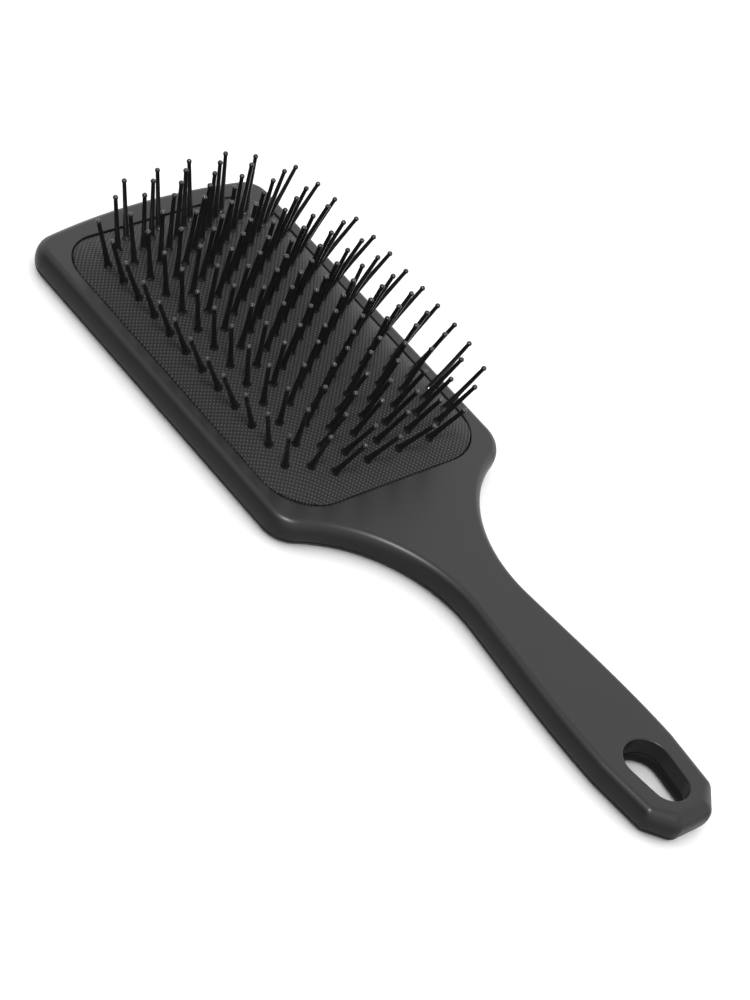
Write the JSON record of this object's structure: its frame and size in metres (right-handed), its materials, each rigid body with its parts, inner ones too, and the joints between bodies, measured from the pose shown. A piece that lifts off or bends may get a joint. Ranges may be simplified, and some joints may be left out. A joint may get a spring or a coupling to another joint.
{
  "type": "paddle hair brush",
  "caption": "Flat square-headed paddle hair brush with a domed rubber air cushion, rows of ball-tipped nylon pins and a slim handle with a hanging slot.",
  "frame": {"origin": "Bottom centre of the bounding box: on the plane of the flat back, at half the length and half the width.", "axes": "+X along the brush from the head towards the handle's end, +Y across the width, +Z out of the back through the head towards the pin tips."},
  "size_m": [0.2462, 0.0828, 0.037],
  "materials": {
    "front_plastic": "satin soft-touch black",
    "back_plastic": "satin soft-touch black",
    "cushion_rubber": "matt black, fine raised dots",
    "pin_nylon": "glossy black"
  },
  "bodies": {
    "shell": {"front_shell": "front_plastic", "back_shell": "back_plastic", "rubber_cushion": "cushion_rubber"},
    "pin_row_01": {"pin_row_01": "pin_nylon"},
    "pin_row_02": {"pin_row_02": "pin_nylon"},
    "pin_row_03": {"pin_row_03": "pin_nylon"},
    "pin_row_04": {"pin_row_04": "pin_nylon"},
    "pin_row_05": {"pin_row_05": "pin_nylon"},
    "pin_row_06": {"pin_row_06": "pin_nylon"},
    "pin_row_07": {"pin_row_07": "pin_nylon"},
    "pin_row_08": {"pin_row_08": "pin_nylon"},
    "pin_row_09": {"pin_row_09": "pin_nylon"},
    "pin_row_10": {"pin_row_10": "pin_nylon"},
    "pin_row_11": {"pin_row_11": "pin_nylon"},
    "pin_row_12": {"pin_row_12": "pin_nylon"},
    "pin_row_13": {"pin_row_13": "pin_nylon"},
    "pin_row_14": {"pin_row_14": "pin_nylon"},
    "pin_row_15": {"pin_row_15": "pin_nylon"},
    "pin_row_16": {"pin_row_16": "pin_nylon"},
    "pin_row_17": {"pin_row_17": "pin_nylon"},
    "pin_row_18": {"pin_row_18": "pin_nylon"},
    "pin_row_19": {"pin_row_19": "pin_nylon"},
    "pin_row_20": {"pin_row_20": "pin_nylon"},
    "pin_row_21": {"pin_row_21": "pin_nylon"},
    "pin_row_22": {"pin_row_22": "pin_nylon"},
    "pin_row_23": {"pin_row_23": "pin_nylon"},
    "pin_row_24": {"pin_row_24": "pin_nylon"},
    "pin_row_25": {"pin_row_25": "pin_nylon"},
    "pin_row_26": {"pin_row_26": "pin_nylon"},
    "pin_row_27": {"pin_row_27": "pin_nylon"}
  },
  "joints": [
    {"name": "cushion_press", "type": "slide", "parent": "shell", "child": "pin_row_14", "axis": [0, 0, 1], "range_m": [-0.004, 0], "stiffness_N_per_m": 250, "springref_m": 0.001, "deforming": ["rubber_cushion"]},
    {"name": "pin_row_01_press", "type": "slide", "parent": "shell", "child": "pin_row_01", "axis": [0, 0, 1], "range_m": [-0.00171, 0]},
    {"name": "pin_row_02_press", "type": "slide", "parent": "shell", "child": "pin_row_02", "axis": [0, 0, 1], "range_m": [-0.00223, 0]},
    {"name": "pin_row_03_press", "type": "slide", "parent": "shell", "child": "pin_row_03", "axis": [0, 0, 1], "range_m": [-0.00245, 0]},
    {"name": "pin_row_04_press", "type": "slide", "parent": "shell", "child": "pin_row_04", "axis": [0, 0, 1], "range_m": [-0.0031, 0]},
    {"name": "pin_row_05_press", "type": "slide", "parent": "shell", "child": "pin_row_05", "axis": [0, 0, 1], "range_m": [-0.00305, 0]},
    {"name": "pin_row_06_press", "type": "slide", "parent": "shell", "child": "pin_row_06", "axis": [0, 0, 1], "range_m": [-0.00362, 0]},
    {"name": "pin_row_07_press", "type": "slide", "parent": "shell", "child": "pin_row_07", "axis": [0, 0, 1], "range_m": [-0.00338, 0]},
    {"name": "pin_row_08_press", "type": "slide", "parent": "shell", "child": "pin_row_08", "axis": [0, 0, 1], "range_m": [-0.00388, 0]},
    {"name": "pin_row_09_press", "type": "slide", "parent": "shell", "child": "pin_row_09", "axis": [0, 0, 1], "range_m": [-0.00353, 0]},
    {"name": "pin_row_10_press", "type": "slide", "parent": "shell", "child": "pin_row_10", "axis": [0, 0, 1], "range_m": [-0.00399, 0]},
    {"name": "pin_row_11_press", "type": "slide", "parent": "shell", "child": "pin_row_11", "axis": [0, 0, 1], "range_m": [-0.00358, 0]},
    {"name": "pin_row_12_press", "type": "slide", "parent": "shell", "child": "pin_row_12", "axis": [0, 0, 1], "range_m": [-0.00401, 0]},
    {"name": "pin_row_13_press", "type": "slide", "parent": "shell", "child": "pin_row_13", "axis": [0, 0, 1], "range_m": [-0.00358, 0]},
    {"name": "pin_row_15_press", "type": "slide", "parent": "shell", "child": "pin_row_15", "axis": [0, 0, 1], "range_m": [-0.00358, 0]},
    {"name": "pin_row_16_press", "type": "slide", "parent": "shell", "child": "pin_row_16", "axis": [0, 0, 1], "range_m": [-0.00401, 0]},
    {"name": "pin_row_17_press", "type": "slide", "parent": "shell", "child": "pin_row_17", "axis": [0, 0, 1], "range_m": [-0.00358, 0]},
    {"name": "pin_row_18_press", "type": "slide", "parent": "shell", "child": "pin_row_18", "axis": [0, 0, 1], "range_m": [-0.00399, 0]},
    {"name": "pin_row_19_press", "type": "slide", "parent": "shell", "child": "pin_row_19", "axis": [0, 0, 1], "range_m": [-0.00353, 0]},
    {"name": "pin_row_20_press", "type": "slide", "parent": "shell", "child": "pin_row_20", "axis": [0, 0, 1], "range_m": [-0.00388, 0]},
    {"name": "pin_row_21_press", "type": "slide", "parent": "shell", "child": "pin_row_21", "axis": [0, 0, 1], "range_m": [-0.00338, 0]},
    {"name": "pin_row_22_press", "type": "slide", "parent": "shell", "child": "pin_row_22", "axis": [0, 0, 1], "range_m": [-0.00362, 0]},
    {"name": "pin_row_23_press", "type": "slide", "parent": "shell", "child": "pin_row_23", "axis": [0, 0, 1], "range_m": [-0.00305, 0]},
    {"name": "pin_row_24_press", "type": "slide", "parent": "shell", "child": "pin_row_24", "axis": [0, 0, 1], "range_m": [-0.0031, 0]},
    {"name": "pin_row_25_press", "type": "slide", "parent": "shell", "child": "pin_row_25", "axis": [0, 0, 1], "range_m": [-0.00245, 0]},
    {"name": "pin_row_26_press", "type": "slide", "parent": "shell", "child": "pin_row_26", "axis": [0, 0, 1], "range_m": [-0.00223, 0]},
    {"name": "pin_row_27_press", "type": "slide", "parent": "shell", "child": "pin_row_27", "axis": [0, 0, 1], "range_m": [-0.00171, 0]}
  ],
  "couplings": [
    {"joint": "pin_row_01_press", "follows": "cushion_press", "ratio": 0.423},
    {"joint": "pin_row_02_press", "follows": "cushion_press", "ratio": 0.553},
    {"joint": "pin_row_03_press", "follows": "cushion_press", "ratio": 0.61},
    {"joint": "pin_row_04_press", "follows": "cushion_press", "ratio": 0.771},
    {"joint": "pin_row_05_press", "follows": "cushion_press", "ratio": 0.76},
    {"joint": "pin_row_06_press", "follows": "cushion_press", "ratio": 0.9},
    {"joint": "pin_row_07_press", "follows": "cushion_press", "ratio": 0.842},
    {"joint": "pin_row_08_press", "follows": "cushion_press", "ratio": 0.966},
    {"joint": "pin_row_09_press", "follows": "cushion_press", "ratio": 0.879},
    {"joint": "pin_row_10_press", "follows": "cushion_press", "ratio": 0.993},
    {"joint": "pin_row_11_press", "follows": "cushion_press", "ratio": 0.891},
    {"joint": "pin_row_12_press", "follows": "cushion_press", "ratio": 1},
    {"joint": "pin_row_13_press", "follows": "cushion_press", "ratio": 0.892},
    {"joint": "pin_row_15_press", "follows": "cushion_press", "ratio": 0.892},
    {"joint": "pin_row_16_press", "follows": "cushion_press", "ratio": 1},
    {"joint": "pin_row_17_press", "follows": "cushion_press", "ratio": 0.891},
    {"joint": "pin_row_18_press", "follows": "cushion_press", "ratio": 0.993},
    {"joint": "pin_row_19_press", "follows": "cushion_press", "ratio": 0.879},
    {"joint": "pin_row_20_press", "follows": "cushion_press", "ratio": 0.966},
    {"joint": "pin_row_21_press", "follows": "cushion_press", "ratio": 0.842},
    {"joint": "pin_row_22_press", "follows": "cushion_press", "ratio": 0.9},
    {"joint": "pin_row_23_press", "follows": "cushion_press", "ratio": 0.76},
    {"joint": "pin_row_24_press", "follows": "cushion_press", "ratio": 0.771},
    {"joint": "pin_row_25_press", "follows": "cushion_press", "ratio": 0.61},
    {"joint": "pin_row_26_press", "follows": "cushion_press", "ratio": 0.553},
    {"joint": "pin_row_27_press", "follows": "cushion_press", "ratio": 0.423}
  ]
}
